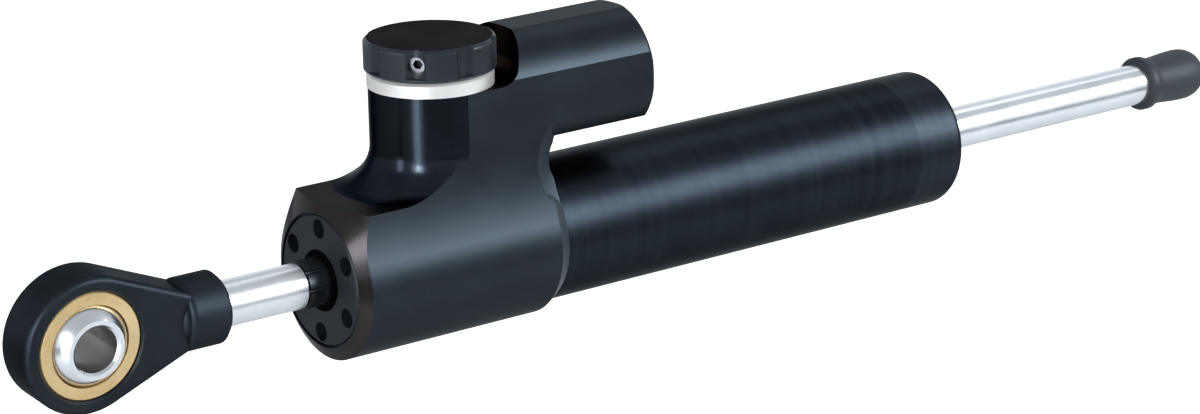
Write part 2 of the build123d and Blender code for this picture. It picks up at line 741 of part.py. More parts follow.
# Adjuster knob with its set screw
flute_cutter = (flute_width**2 / 4 + flute_depth**2) / (2 * flute_depth)
flute_circle = knob_radius - flute_depth + flute_cutter
screw_way = Vector(cos(radians(flute_phase)), sin(radians(flute_phase)), 0)
screw_centre = Vector(valve_x, 0, knob_z + set_screw_height)
with BuildPart() as adjuster_knob:
    with BuildSketch(Plane((valve_x, 0, knob_z))):
        Circle(knob_radius)
    extrude(amount=knob_height)
    fillet(edges().filter_by(GeomType.CIRCLE).sort_by(Axis.Z)[-1], radius=knob_edge)
    chamfer(edges().filter_by(GeomType.CIRCLE).sort_by(Axis.Z)[0], length=knob_under_edge)
    with BuildSketch(Plane((valve_x, 0, knob_z + flute_foot))):
        with PolarLocations(flute_circle, flute_count, start_angle=flute_phase):
            Circle(flute_cutter)
    extrude(amount=knob_height, mode=Mode.SUBTRACT)
    bore(Plane((valve_x, 0, knob_z)), spindle_radius + seat_fit, spindle_top_z + seat_fit - knob_z)
    bore(Plane(screw_centre, z_dir=screw_way), set_screw_radius + seat_fit, knob_radius)
    bore(Plane((click_x, click_y, knob_z)), click_ball_radius + running_fit, click_pocket_depth)

screw_foot = screw_centre + screw_way * (spindle_radius + seat_fit)
screw_head = screw_centre + screw_way * (knob_radius - flute_depth - set_screw_sink)
with BuildPart() as knob_set_screw:
    with BuildSketch(Plane(screw_foot, z_dir=screw_way)):
        Circle(set_screw_radius)
    extrude(amount=(screw_head - screw_foot).length)
    with BuildSketch(Plane(screw_head, z_dir=screw_way)):
        RegularPolygon(set_screw_across / 2, 6, major_radius=False)
    extrude(amount=-set_screw_socket_depth, mode=Mode.SUBTRACT)

# Reservoir: floating piston, spring, plug and snap ring
float_radius = reservoir_bore - running_fit
float_dish_radius = float_radius - float_wall
float_end_x = float_x + float_length
float_oring_x = float_x + float_length / 2
float_ring_room = groove_depth + running_fit
with BuildPart() as reservoir_piston:
    turn(
        [(float_x, 0), (float_x, float_radius)]
        + groove(float_oring_x - oring_groove_width / 2, oring_groove_width, float_radius, groove_depth)
        + [
            (float_end_x, float_radius), (float_end_x, float_dish_radius),
            (float_end_x - float_dish_depth, float_dish_radius), (float_end_x - float_dish_depth, 0),
        ],
        reservoir_plane, reservoir_axis,
    )
with BuildPart() as reservoir_piston_oring:
    ring_centre = (float_oring_x, reservoir_bore - float_ring_room / 2)
    turn_ring(ring_centre, float_ring_room - 2 * seat_fit, reservoir_plane, reservoir_axis)

plug_radius = reservoir_bore - thread_fit
plug_recess_radius = plug_radius - plug_wall
plug_oring_x = plug_x + plug_length / 2
plug_recess_x = clip_x - plug_recess_depth
with BuildPart() as reservoir_plug:
    turn(
        [(plug_x, 0), (plug_x, plug_radius)]
        + groove(plug_oring_x - oring_groove_width / 2, oring_groove_width, plug_radius, groove_depth)
        + [
            (clip_x - plug_edge, plug_radius), (clip_x, plug_radius - plug_edge),
            (clip_x, plug_recess_radius), (plug_recess_x, plug_recess_radius), (plug_recess_x, 0),
        ],
        reservoir_plane, reservoir_axis,
    )
    with BuildSketch(Plane((plug_recess_x, 0, reservoir_z), z_dir=(-1, 0, 0))):
        RegularPolygon(plug_socket_across / 2, 6, major_radius=False)
    extrude(amount=plug_socket_depth, mode=Mode.SUBTRACT)
with BuildPart() as reservoir_plug_oring:
    ring_centre = (plug_oring_x, reservoir_bore - fixed_ring_room / 2)
    turn_ring(ring_centre, fixed_ring, reservoir_plane, reservoir_axis)
with BuildPart() as reservoir_snap_ring:
    snap_groove = reservoir_bore + clip_depth
    clip_inner = snap_groove - clip_width
    snap_ring(clip_x, clip_thick, snap_groove - seat_fit, clip_inner, clip_mouth, reservoir_z)
with BuildPart() as reservoir_spring:
    low_x = float_end_x + reservoir_wire / 2 + seat_fit
    high_x = plug_x - reservoir_wire / 2 - seat_fit
    foot = (low_x, 0, reservoir_z)
    rise = high_x - low_x
    wind(foot, (1, 0, 0), reservoir_coil_radius, reservoir_wire, reservoir_coil_pitch, rise)

# Rod with its stud, piston and snap rings
stud_x = collar_x - stud_grip
piston_front_x = piston_x - piston_length / 2
piston_rear_x = piston_x + piston_length / 2
rod_clip_room = piston_clip_thick + clip_play
with BuildPart() as piston_rod:
    turn(
        [(stud_x, 0), (stud_x, stud_radius), (rod_shoulder_x, stud_radius), (rod_shoulder_x, rod_radius)]
        + groove(piston_front_x - rod_clip_room, rod_clip_room, rod_radius, piston_clip_depth)
        + groove(piston_rear_x, rod_clip_room, rod_radius, piston_clip_depth)
        + [(rod_tip_x - rod_edge, rod_radius), (rod_tip_x, rod_radius - rod_edge), (rod_tip_x, 0)]
    )

band_outer = liner_bore - running_fit
band_inner = band_outer - band_thick
band_seat = band_inner - seat_fit
band_front_x = piston_x - band_width / 2
band_rear_x = piston_x + band_width / 2
ring_front_x = piston_x - piston_oring_width / 2
ring_rear_x = piston_x + piston_oring_width / 2
ring_seat = band_seat - piston_oring_section * oring_groove_share
with BuildPart() as piston:
    turn([
        (piston_front_x, rod_radius + seat_fit), (piston_front_x, piston_radius),
        (band_front_x - seat_fit, piston_radius), (band_front_x - seat_fit, band_seat),
        (ring_front_x, band_seat), (ring_front_x, ring_seat), (ring_rear_x, ring_seat),
        (ring_rear_x, band_seat), (band_rear_x + seat_fit, band_seat),
        (band_rear_x + seat_fit, piston_radius), (piston_rear_x, piston_radius),
        (piston_rear_x, rod_radius + seat_fit),
    ])
with BuildPart() as piston_band:
    turn([
        (band_front_x, band_inner), (band_front_x, band_outer), (band_rear_x, band_outer),
        (band_rear_x, band_inner),
    ])
with BuildPart() as piston_oring:
    turn_ring((piston_x, (ring_seat + band_inner) / 2), band_inner - ring_seat - 2 * running_fit)
with BuildPart() as piston_snap_rings:
    for start_x in (piston_front_x - piston_clip_thick, piston_rear_x):
        clip_seat = rod_radius - piston_clip_depth + seat_fit
        snap_ring(start_x, piston_clip_thick, piston_clip_radius, clip_seat, piston_clip_mouth)

# Coupler and sleeve on the rod's stud
stud_bore = stud_radius + seat_fit
with BuildPart() as rod_coupler:
    with BuildSketch(Plane.YZ.offset(coupler_x)):
        Circle(coupler_radius)
        Circle(stud_bore, mode=Mode.SUBTRACT)
    extrude(amount=coupler_length)
    with BuildSketch(Plane.YZ.offset(coupler_x)):
        with PolarLocations(coupler_radius, coupler_groove_count):
            Circle(coupler_groove_radius)
    extrude(amount=coupler_groove_length, mode=Mode.SUBTRACT)
with BuildPart() as spacer_sleeve:
    turn([
        (collar_x, stud_bore), (collar_x, rod_radius), (coupler_x - sleeve_edge, rod_radius),
        (coupler_x, rod_radius - sleeve_edge), (coupler_x, stud_bore),
    ])

# Rod end: blade with the eye, and a shank turned about the rod
flank_cos = cos(radians(flank_angle))
flank_sin = sin(radians(flank_angle))
flank_foot_x = head_radius * flank_cos
flank_foot_half = head_radius * flank_sin
shank_start_x = collar_x - shank_length
blade_end = shank_start_x + blade_inset - eye_x
blade_end_half = (head_radius - blade_end * flank_cos) / flank_sin
cove_x = shank_start_x - cove_length
cove_radius = head_half_thick - cove_sink
cove_bend = (
    shank_start_x - cove_length * cove_round_share,
    shank_radius - (shank_radius - cove_radius) * cove_round_share,
)
with BuildPart() as rod_end_housing:
    with BuildSketch(eye_plane):
        Circle(head_radius)
        with BuildLine():
            Polyline(
                (flank_foot_x, flank_foot_half), (blade_end, blade_end_half),
                (blade_end, -blade_end_half), (flank_foot_x, -flank_foot_half), close=True,
            )
        make_face()
    extrude(amount=head_half_thick, both=True)
    fillet(faces().filter_by(eye_plane).edges(), radius=head_edge)
    with BuildSketch(Plane.XY):
        with BuildLine():
            rounding = TangentArc((shank_start_x, shank_radius), cove_bend, tangent=(-1, 0))
            TangentArc(cove_bend, (cove_x, cove_radius), tangent=rounding % 1)
            Polyline(
                (shank_start_x, shank_radius), (collar_x - shank_chamfer, shank_radius),
                (collar_x, shank_radius - shank_chamfer), (collar_x, 0), (cove_x, 0),
                (cove_x, cove_radius),
            )
        make_face()
    revolve(axis=Axis.X)
    bore(eye_plane, race_radius + seat_fit, head_radius, True)
    race_seat = faces().filter_by(GeomType.CYLINDER).sort_by(lambda face: abs(face.radius - race_radius))[0]
    chamfer(race_seat.edges().filter_by(GeomType.CIRCLE), length=race_seat_bevel)
    bore(Plane((collar_x, 0, 0), z_dir=(-1, 0, 0)), stud_bore, stud_grip + seat_fit)

socket_radius = ball_radius + running_fit
race_neck_radius = race_radius - race_edge
with BuildPart() as rod_end_race:
    turn([
        (race_mouth_radius, -race_half_width), (race_neck_radius, -race_half_width),
        (race_radius, race_edge - race_half_width), (race_radius, race_half_width - race_edge),
        (race_neck_radius, race_half_width), (race_mouth_radius, race_half_width),
    ], eye_section_plane, eye_axis)
    with Locations((eye_x, 0, 0)):
        Sphere(socket_radius, mode=Mode.SUBTRACT)

with BuildPart() as rod_end_ball:
    with Locations((eye_x, 0, 0)):
        Sphere(ball_radius)
    with BuildSketch(eye_plane):
        Circle(head_radius)
        Circle(ball_bore, mode=Mode.SUBTRACT)
    extrude(amount=ball_half_width, both=True, mode=Mode.INTERSECT)
    bore_rims = faces().filter_by(GeomType.CYLINDER)[0].edges().filter_by(GeomType.CIRCLE)
    chamfer(bore_rims, length=ball_bore_bevel)

# Rubber bumper pushed over the rod's rear end
bumper_tip_x = bumper_x + bumper_length
bumper_rim_x = bumper_x + bumper_rim_length
bumper_waist_x = bumper_x + bumper_length * bumper_waist_share
bumper_bulge_x = bumper_x + bumper_length * bumper_bulge_share
bumper_floor_x = rod_tip_x + seat_fit
with BuildPart() as rod_bumper:
    with BuildSketch(Plane.XY):
        with BuildLine():
            Polyline(
                (bumper_tip_x, bumper_end_radius), (bumper_tip_x, 0), (bumper_floor_x, 0),
                (bumper_floor_x, rod_radius + seat_fit), (bumper_x, rod_radius + seat_fit),
                (bumper_x, bumper_rim_radius - bumper_rim_edge),
                (bumper_x + bumper_rim_edge, bumper_rim_radius), (bumper_rim_x, bumper_rim_radius),
            )
            Spline(
                (bumper_rim_x, bumper_rim_radius), (bumper_waist_x, bumper_waist_radius),
                (bumper_bulge_x, bumper_bulge_radius), tangents=((1, -1), (1, 0)),
            )
            EllipticalCenterArc(
                (bumper_bulge_x, bumper_end_radius), bumper_tip_x - bumper_bulge_x,
                bumper_bulge_radius - bumper_end_radius, start_angle=0, arc_size=90,
            )
        make_face()
    revolve(axis=Axis.X)

pieces = {
    "body_housing": body_housing,
    "front_gland": front_gland,
    "front_gland_oring": front_gland_oring,
    "damper_tube": damper_tube,
    "cylinder_liner": cylinder_liner,
    "end_cap": end_cap,
    "end_cap_oring": end_cap_oring,
    "valve_seat": valve_seat,
    "valve_cartridge": valve_cartridge,
    "cartridge_oring": cartridge_oring,
    "metering_needle": metering_needle,
    "adjuster_spindle": adjuster_spindle,
    "spindle_oring": spindle_oring,
    "click_ring": click_ring,
    "click_ball": click_ball,
    "click_spring": click_spring,
    "adjuster_knob": adjuster_knob,
    "knob_set_screw": knob_set_screw,
    "reservoir_piston": reservoir_piston,
    "reservoir_piston_oring": reservoir_piston_oring,
    "reservoir_spring": reservoir_spring,
    "reservoir_plug": reservoir_plug,
    "reservoir_plug_oring": reservoir_plug_oring,
    "reservoir_snap_ring": reservoir_snap_ring,
    "piston_rod": piston_rod,
    "piston": piston,
    "piston_band": piston_band,
    "piston_oring": piston_oring,
    "piston_snap_rings": piston_snap_rings,
    "rod_coupler": rod_coupler,
    "spacer_sleeve": spacer_sleeve,
    "rod_end_housing": rod_end_housing,
    "rod_end_race": rod_end_race,
    "rod_end_ball": rod_end_ball,
    "rod_bumper": rod_bumper,
} | guide_pieces

os.makedirs("parts", exist_ok=True)
for node, piece in pieces.items():
    piece.part.label = node
    export_step(piece.part, f"parts/{node}.step")
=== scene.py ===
"""Looks of a motorcycle steering damper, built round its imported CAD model.

Everything is in metres, in the model's own frame: X runs along the rod, away from the rod end, and Z is up along
the adjuster. The CAD nodes already have the right shapes, so they all stay. Each sub-assembly is a class that
dresses its nodes, whole or area by area, and each finish is a frozen dataclass that makes its own material.
"""

import json
import logging
import math
from dataclasses import dataclass, field
from enum import Enum
from typing import Any, ClassVar

import bpy
import numpy as np
from mathutils import Matrix, Vector

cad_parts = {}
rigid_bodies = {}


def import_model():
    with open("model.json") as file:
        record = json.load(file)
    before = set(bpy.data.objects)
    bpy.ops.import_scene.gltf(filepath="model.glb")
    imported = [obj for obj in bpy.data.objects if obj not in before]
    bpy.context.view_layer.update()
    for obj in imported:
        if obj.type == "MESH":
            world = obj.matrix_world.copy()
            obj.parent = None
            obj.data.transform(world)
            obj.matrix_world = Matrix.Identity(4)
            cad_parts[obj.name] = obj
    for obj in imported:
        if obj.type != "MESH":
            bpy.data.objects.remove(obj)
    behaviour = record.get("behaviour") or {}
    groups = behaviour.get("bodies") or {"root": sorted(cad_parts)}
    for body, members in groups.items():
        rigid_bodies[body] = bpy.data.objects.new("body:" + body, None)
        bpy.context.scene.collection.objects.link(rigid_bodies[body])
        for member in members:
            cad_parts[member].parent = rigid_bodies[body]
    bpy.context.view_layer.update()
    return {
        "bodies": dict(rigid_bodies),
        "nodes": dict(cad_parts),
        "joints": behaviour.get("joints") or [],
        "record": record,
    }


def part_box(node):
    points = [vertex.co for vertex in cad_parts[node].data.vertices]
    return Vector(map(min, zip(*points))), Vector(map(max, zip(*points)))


LOG = logging.getLogger("damper")
MM = 0.001

Colour = tuple[float, float, float]
Point = tuple[float, float, float]
Span = tuple[float, float]
Frame = dict[str, Any]
Socket = bpy.types.NodeSocket
Value = float | tuple[float, ...] | Socket
Inputs = dict[str, Value] | dict[int, Value]

WHITE: Colour = (1.0, 1.0, 1.0)
COOL: Colour = (0.84, 0.92, 1.0)
ORIGIN: Point = (0.0, 0.0, 0.0)
WHOLE: Span = (0.0, 1.0)


class Marks(Enum):
    """Which way a tool has left its marks on a surface."""

    NONE = "none"
    ALONG_ROD = "turned about the rod, so a mark keeps its station along X"
    FACING_ROD = "faced about the rod, so a mark keeps its radius from X"
    FACING_TOWER = "faced about the tower, so a mark keeps its radius from the tower's axis"
    UP_TOWER = "milled up the tower, so a mark runs along Z"
    FACING_EYE = "faced about the eye, so a mark keeps its radius from the eye's centre"
    DRAWN = "drawn along the rod, so a mark runs along X"


FACED_AXES: dict[Marks, Point] = {
    Marks.FACING_ROD: (0.0, 1.0, 1.0),
    Marks.FACING_TOWER: (1.0, 1.0, 0.0),
    Marks.FACING_EYE: (1.0, 0.0, 1.0),
}


class Zone(Enum):
    """The differently finished areas of the body; the bore's area is painted in shade."""

    OUTSIDE = 0
    CONE = 1
    FLOOR = 2
    TOWER = 3
    SCOOP = 4
    LIP = 5
    BORE = 6


class Nodes:
    """Shorthand for adding shader nodes to one tree."""

    def __init__(self, tree: bpy.types.NodeTree) -> None:
        """Keeps the tree that the nodes go into."""
        self.tree = tree

    @classmethod
    def of(cls, owner: bpy.types.Material | bpy.types.World) -> "Nodes":
        """Turns a material's or world's nodes on, and clears them.

        Args:
            owner: the material or world.

        Returns:
            The shorthand for its empty tree.
        """
        owner.use_nodes = True
        owner.node_tree.nodes.clear()
        return cls(owner.node_tree)

    def add(self, kind: str, inputs: Inputs | None = None, **settings: str | bpy.types.NodeTree) -> bpy.types.Node:
        """Adds a node.

        Args:
            kind: the node's type, such as ShaderNodeMath.
            inputs: for each input's name or number, a value or the output socket that feeds it.
            **settings: the node's own settings.

        Returns:
            The new node.
        """
        node = self.tree.nodes.new(kind)
        for name, setting in settings.items():
            setattr(node, name, setting)
        for key, value in (inputs or {}).items():
            self.feed(node.inputs[key], value)
        return node

    def feed(self, socket: Socket, value: Value) -> None:
        """Links an input to an output, or sets its value.

        Args:
            socket: the input.
            value: an output, a number, a vector, or a colour, which gets its alpha of 1 here.
        """
        if isinstance(value, Socket):
            self.tree.links.new(value, socket)
        elif socket.type == "RGBA":
            socket.default_value = (*value, 1.0)
        else:
            socket.default_value = value

    def maths(self, operation: str, *values: Value) -> Socket:
        """Returns the result of a Math node on one to three values."""
        return self.add("ShaderNodeMath", dict(enumerate(values)), operation=operation).outputs[0]

    def vector_maths(self, operation: str, *values: Value) -> bpy.types.Node:
        """Returns a Vector Math node on its values."""
        return self.add("ShaderNodeVectorMath", dict(enumerate(values)), operation=operation)

    def ramp(self, value: Value, given: Span, wanted: Span, smooth: bool = False) -> Socket:
        """Maps one range of values onto another, and holds what lies outside it at its ends.

        Args:
            value: what is mapped.
            given: the range that it comes in.
            wanted: the range that it goes to.
            smooth: whether it follows a smooth step instead of a straight line.

        Returns:
            The mapped value.
        """
        kind = "SMOOTHSTEP" if smooth else "LINEAR"
        numbers = dict(enumerate((value, *given, *wanted)))
        return self.add("ShaderNodeMapRange", numbers, interpolation_type=kind).outputs[0]

    def noise(self, place: Value, scale: Value, detail: float, line: bool = False) -> Socket:
        """Adds a noise.

        Args:
            place: where it is read: a point, or a number for a noise along a line.
            scale: how many cells it has in a unit of place.
            detail: how many finer layers it has.
            line: whether it runs along a line only.

        Returns:
            The noise's value.
        """
        inputs = {"W" if line else "Vector": place, "Scale": scale, "Detail": detail}
        return self.add("ShaderNodeTexNoise", inputs, noise_dimensions="1D" if line else "3D").outputs[0]

    def blend(self, share: Value, first: Value, second: Value) -> Socket:
        """Mixes two colours.

        Args:
            share: how much of the second colour there is, from 0 to 1.
            first: the colour at 0.
            second: the colour at 1.

        Returns:
            The mixed colour.
        """
        node = self.add("ShaderNodeMix", data_type="RGBA")
        colours = [socket for socket in node.inputs if socket.type == "RGBA"]
        self.feed(node.inputs[0], share)
        self.feed(colours[0], first)
        self.feed(colours[1], second)
        return next(socket for socket in node.outputs if socket.type == "RGBA")


@dataclass(frozen=True)
class Effect:
    """A shader node group that several finishes share, built on its first use.

    A subclass names its sockets and draws the nodes between them. Scales are in cells a metre.
    """

    name: ClassVar[str]
    inputs: ClassVar[dict[str, tuple[str, float | None]]]
    outputs: ClassVar[tuple[str, ...]]

    def group(self) -> bpy.types.NodeTree:
        """Finds the group, or makes it.

        Returns:
            The group's tree.
        """
        found = bpy.data.node_groups.get(self.name)
        if found:
            return found
        tree = bpy.data.node_groups.new(self.name, "ShaderNodeTree")
        for label, (kind, default) in self.inputs.items():
            socket = tree.interface.new_socket(label, in_out="INPUT", socket_type=f"NodeSocket{kind}")
            if default is not None:
                socket.default_value = default
        for label in self.outputs:
            tree.interface.new_socket(label, in_out="OUTPUT", socket_type="NodeSocketFloat")
        n = Nodes(tree)
        drawn = self.draw(n, n.add("NodeGroupInput"))
        n.add("NodeGroupOutput", dict(zip(self.outputs, drawn)))
        return tree

    def draw(self, n: Nodes, given: bpy.types.Node) -> tuple[Socket, ...]:
        """Adds the nodes between the group's inputs and outputs.

        Args:
            n: the group's nodes.
            given: the node that gives out the group's inputs.

        Returns:
            What feeds each output.
        """
        raise NotImplementedError

    def place(self, n: Nodes, inputs: Inputs) -> bpy.types.Node:
        """Adds the group to a material's nodes, with its own inputs, and returns its node."""
        return n.add("ShaderNodeGroup", inputs, node_tree=self.group())


@dataclass(frozen=True)
class ToolMarks(Effect):
    """Marks of a cutting tool, which follow one coordinate.

    A one-dimensional noise of the coordinate times the density gives the fine grooves, and a slower one the bands
    of light and dark. A little of a three-dimensional noise is added to the coordinate first, so that no mark runs
    perfectly true.
    """

    name: ClassVar[str] = "Tool marks"
    inputs: ClassVar[dict[str, tuple[str, float | None]]] = {
        "Coordinate": ("Float", 0.0), "Density": ("Float", 4000.0), "Vector": ("Vector", None),
    }
    outputs: ClassVar[tuple[str, ...]] = ("Height", "Bands")
    wander_scale: float = 60.0
    wander_detail: float = 1.0
    wander_reach: float = 0.12 * MM
    groove_detail: float = 3.0
    band_pace: float = 0.09
    band_detail: float = 2.0

    def draw(self, n: Nodes, given: bpy.types.Node) -> tuple[Socket, ...]:
        """Adds the nodes.

        Args:
            n: the group's nodes.
            given: the node that gives out the group's inputs.

        Returns:
            The height of the grooves, and the bands.
        """
        wander = n.noise(given.outputs["Vector"], self.wander_scale, self.wander_detail)
        drift = n.maths("MULTIPLY_ADD", wander, self.wander_reach, given.outputs["Coordinate"])
        groove_place = n.maths("MULTIPLY", drift, given.outputs["Density"])
        grooves = n.noise(groove_place, 1.0, self.groove_detail, line=True)
        band_place = n.maths("MULTIPLY", groove_place, self.band_pace)
        bands = n.noise(band_place, 1.0, self.band_detail, line=True)
        return grooves, bands


@dataclass(frozen=True)
class Streaks(Effect):
    """Long streaks: a noise whose vector is stretched, so that it changes fast across a mark and slowly along it."""

    name: ClassVar[str] = "Streaks"
    inputs: ClassVar[dict[str, tuple[str, float | None]]] = {"Vector": ("Vector", None), "Stretch": ("Vector", None)}
    outputs: ClassVar[tuple[str, ...]] = ("Height", "Bands")
    groove_detail: float = 3.0
    band_pace: float = 0.16
    band_detail: float = 2.0

    def draw(self, n: Nodes, given: bpy.types.Node) -> tuple[Socket, ...]:
        """Adds the nodes.

        Args:
            n: the group's nodes.
            given: the node that gives out the group's inputs.

        Returns:
            The height of the streaks, and the bands.
        """
        stretched = n.vector_maths("MULTIPLY", given.outputs["Vector"], given.outputs["Stretch"]).outputs[0]
        grooves = n.noise(stretched, 1.0, self.groove_detail)
        bands = n.noise(stretched, self.band_pace, self.band_detail)
        return grooves, bands


@dataclass(frozen=True)
class Grain(Effect):
    """Grain of a surface: fine noise for its height, slow noise for its clouds, and rare specks.

    A speck is where the distance to the nearest random point falls under the speck size.
    """

    name: ClassVar[str] = "Grain"
    inputs: ClassVar[dict[str, tuple[str, float | None]]] = {
        "Vector": ("Vector", None), "Scale": ("Float", 3000.0), "Speck": ("Float", 0.05),
    }
    outputs: ClassVar[tuple[str, ...]] = ("Height", "Clouds", "Specks")
    grain_detail: float = 2.0
    cloud_scale: float = 110.0
    cloud_detail: float = 3.0
    speck_scale: float = 420.0

    def draw(self, n: Nodes, given: bpy.types.Node) -> tuple[Socket, ...]:
        """Adds the nodes.

        Args:
            n: the group's nodes.
            given: the node that gives out the group's inputs.

        Returns:
            The height of the grain, the clouds, and the specks.
        """
        place = given.outputs["Vector"]
        grains = n.noise(place, given.outputs["Scale"], self.grain_detail)
        clouds = n.noise(place, self.cloud_scale, self.cloud_detail)
        points = n.add("ShaderNodeTexVoronoi", {"Vector": place, "Scale": self.speck_scale})
        specks = n.maths("LESS_THAN", points.outputs["Distance"], given.outputs["Speck"])
        return grains, clouds, specks


@dataclass(frozen=True)
class Places:
    """Points of the model that tool marks are centred on."""

    valve: Point
    eye: Point

    @classmethod
    def read(cls, frame: Frame) -> "Places":
        """Reads the points from the joints of the knob and of the rod end's ball.


        Returns:
            The places.
        """
        joints = {joint["name"]: joint for joint in frame["record"]["behaviour"]["joints"]}
        return cls(tuple(joints["knob_turn"]["pos_m"]), tuple(joints["ball_tilt"]["pos_m"]))

    def centre(self, marks: Marks) -> Point:
        """Returns the point that marks of one kind are centred on."""
        centres = {Marks.FACING_TOWER: self.valve, Marks.UP_TOWER: self.valve, Marks.FACING_EYE: self.eye}
        return centres.get(marks, ORIGIN)


@dataclass(frozen=True)
class Finish:
    """A surface finish, with the values of its material.

    The base colour goes from colour to tint with the grain's clouds and the tool's bands, and specks are a lighter
    tint. Roughness swings about its middle by spread with the same clouds and bands. Tool marks and grain raise the
    bump, by depth and grain_depth in millimetres. Density is in marks a metre and grain in grains a metre, and edge
    dims what is reflected at a grazing angle.
    """

    name: str
    colour: Colour
    tint: Colour
    metallic: float
    roughness: float
    spread: float = 0.05
    marks: Marks = Marks.NONE
    density: float = 4000.0
    depth: float = 0.0
    grain: float = 3000.0
    grain_depth: float = 0.0
    speck: float = 0.0
    specular: float = 0.5
    edge: float = 1.0
    band_share: ClassVar[float] = 0.5
    tint_range: ClassVar[Span] = (0.35, 0.65)
    rough_range: ClassVar[Span] = (0.3, 0.7)
    speck_gain: ClassVar[float] = 3.0
    speck_lift: ClassVar[float] = 0.05
    slow_share: ClassVar[float] = 0.01

    def material(self, places: Places) -> bpy.types.Material:
        """Finds this finish's material, or makes it.

        Args:
            places: what the tool marks are centred on.

        Returns:
            The material.
        """
        found = bpy.data.materials.get(self.name)
        if found:
            return found
        material = bpy.data.materials.new(self.name)
        n = Nodes.of(material)
        coordinates = n.add("ShaderNodeTexCoord").outputs["Object"]
        shift = tuple(-c for c in places.centre(self.marks))
        place = n.add("ShaderNodeMapping", {"Vector": coordinates, "Location": shift}).outputs[0]
        grain = Grain().place(n, {"Vector": place, "Scale": self.grain, "Speck": self.speck})
        marks = self._marks(n, place)
        share = grain.outputs["Clouds"]
        if marks:
            clouds = n.maths("MULTIPLY", share, 1.0 - self.band_share)
            share = n.maths("MULTIPLY_ADD", marks.outputs["Bands"], self.band_share, clouds)
        swing = (self.roughness - self.spread, self.roughness + self.spread)
        inputs = {
            "Metallic": self.metallic,
            "Specular IOR Level": self.specular,
            "Specular Tint": (self.edge, self.edge, self.edge),
            "Base Color": self._colour(n, share, grain),
            "Roughness": n.ramp(share, self.rough_range, swing),
        }
        height = self._height(n, grain, marks)
        if height:
            bump = n.add("ShaderNodeBump", {"Strength": 1.0, "Distance": MM, "Height": height})
            inputs["Normal"] = bump.outputs[0]
        shader = n.add("ShaderNodeBsdfPrincipled", inputs)
        n.add("ShaderNodeOutputMaterial", {"Surface": shader.outputs[0]})
        return material

    def _colour(self, n: Nodes, share: Socket, grain: bpy.types.Node) -> Socket:
        """Adds the nodes of the base colour.

        Args:
            n: the material's nodes.
            share: the clouds and bands.
            grain: the grain group's node.

        Returns:
            The colour, with its specks if it has any.
        """
        colour = n.blend(n.ramp(share, self.tint_range, WHOLE), self.colour, self.tint)
        if not self.speck:
            return colour
        light = tuple(min(1.0, self.speck_gain * c + self.speck_lift) for c in self.tint)
        return n.blend(grain.outputs["Specks"], colour, light)

    def _height(self, n: Nodes, grain: bpy.types.Node, marks: bpy.types.Node | None) -> Socket | None:
        """Adds up the heights of grain and tool marks.

        Args:
            n: the material's nodes.
            grain: the grain group's node.
            marks: the marks group's node, if the finish has one.

        Returns:
            The height in millimetres, or None for a smooth finish.
        """
        layers = []
        if self.grain_depth:
            layers.append(n.maths("MULTIPLY", grain.outputs["Height"], self.grain_depth))
        if marks and self.depth:
            layers.append(n.maths("MULTIPLY", marks.outputs["Height"], self.depth))
        if not layers:
            return None
        return n.maths("ADD", *layers) if len(layers) > 1 else layers[0]

    def _marks(self, n: Nodes, place: Socket) -> bpy.types.Node | None:
        """Adds the group that draws this finish's tool marks.

        Args:
            n: the material's nodes.
            place: the centred position.

        Returns:
            The group's node, or None for a finish with no marks.
        """
        if self.marks is Marks.NONE:
            return None
        if self.marks in (Marks.UP_TOWER, Marks.DRAWN):
            fast, slow = self.density, self.density * self.slow_share
            stretch = (fast, fast, slow) if self.marks is Marks.UP_TOWER else (slow, fast, fast)
            return Streaks().place(n, {"Vector": place, "Stretch": stretch})
        if self.marks is Marks.ALONG_ROD:
            coordinate = n.add("ShaderNodeSeparateXYZ", {0: place}).outputs["X"]
        else:
            flat = n.vector_maths("MULTIPLY", place, FACED_AXES[self.marks]).outputs[0]
            coordinate = n.vector_maths("LENGTH", flat).outputs["Value"]
        return ToolMarks().place(n, {"Coordinate": coordinate, "Density": self.density, "Vector": place})


ANODISED = Finish(
    "Anodised", (0.0285, 0.034, 0.039), (0.0365, 0.0435, 0.0495), metallic=1.0, roughness=0.37, spread=0.025,
    marks=Marks.DRAWN, density=900.0, depth=0.003, grain=2600.0, grain_depth=0.004, speck=0.016, edge=0.55,
)
FLOOR_BLACK = Finish(
    "Anodised floor", (0.013, 0.0125, 0.013), (0.019, 0.018, 0.0185), metallic=1.0, roughness=0.4,
    marks=Marks.FACING_TOWER, density=3000.0, depth=0.002, grain=2500.0, grain_depth=0.003, edge=0.5,
)
CONE_BROWN = Finish(
    "Faced cone", (0.034, 0.027, 0.027), (0.062, 0.054, 0.057), metallic=1.0, roughness=0.16, spread=0.03,
    marks=Marks.FACING_ROD, density=2500.0, depth=0.003, grain=2500.0, grain_depth=0.001, edge=0.6,
)
TOWER_BLACK = Finish(
    "Anodised tower", (0.017, 0.02, 0.0255), (0.025, 0.029, 0.036), metallic=1.0, roughness=0.22, spread=0.03,
    marks=Marks.UP_TOWER, density=1500.0, depth=0.012, grain=2500.0, grain_depth=0.001, edge=0.4,
)
SCOOP_BROWN = Finish(
    "Anodised scoop", (0.018, 0.013, 0.01), (0.03, 0.022, 0.017), metallic=1.0, roughness=0.3, spread=0.03,
    marks=Marks.FACING_TOWER, density=2600.0, depth=0.02, grain=2500.0, grain_depth=0.002, edge=0.4,
)
LIP_GREY = Finish(
    "Turned lip", (0.085, 0.1, 0.115), (0.115, 0.135, 0.15), metallic=1.0, roughness=0.4,
    marks=Marks.ALONG_ROD, density=3000.0, depth=0.003, grain=2500.0, grain_depth=0.002,
)
# Painted shade: a near-black, dull colour for the body's bore, the rod end's seat and the screw's socket.
BORE_SHADE = Finish(
    "Painted shade in bores", (0.005, 0.006, 0.008), (0.008, 0.009, 0.011), metallic=0.0, roughness=0.45, specular=0.25,
)
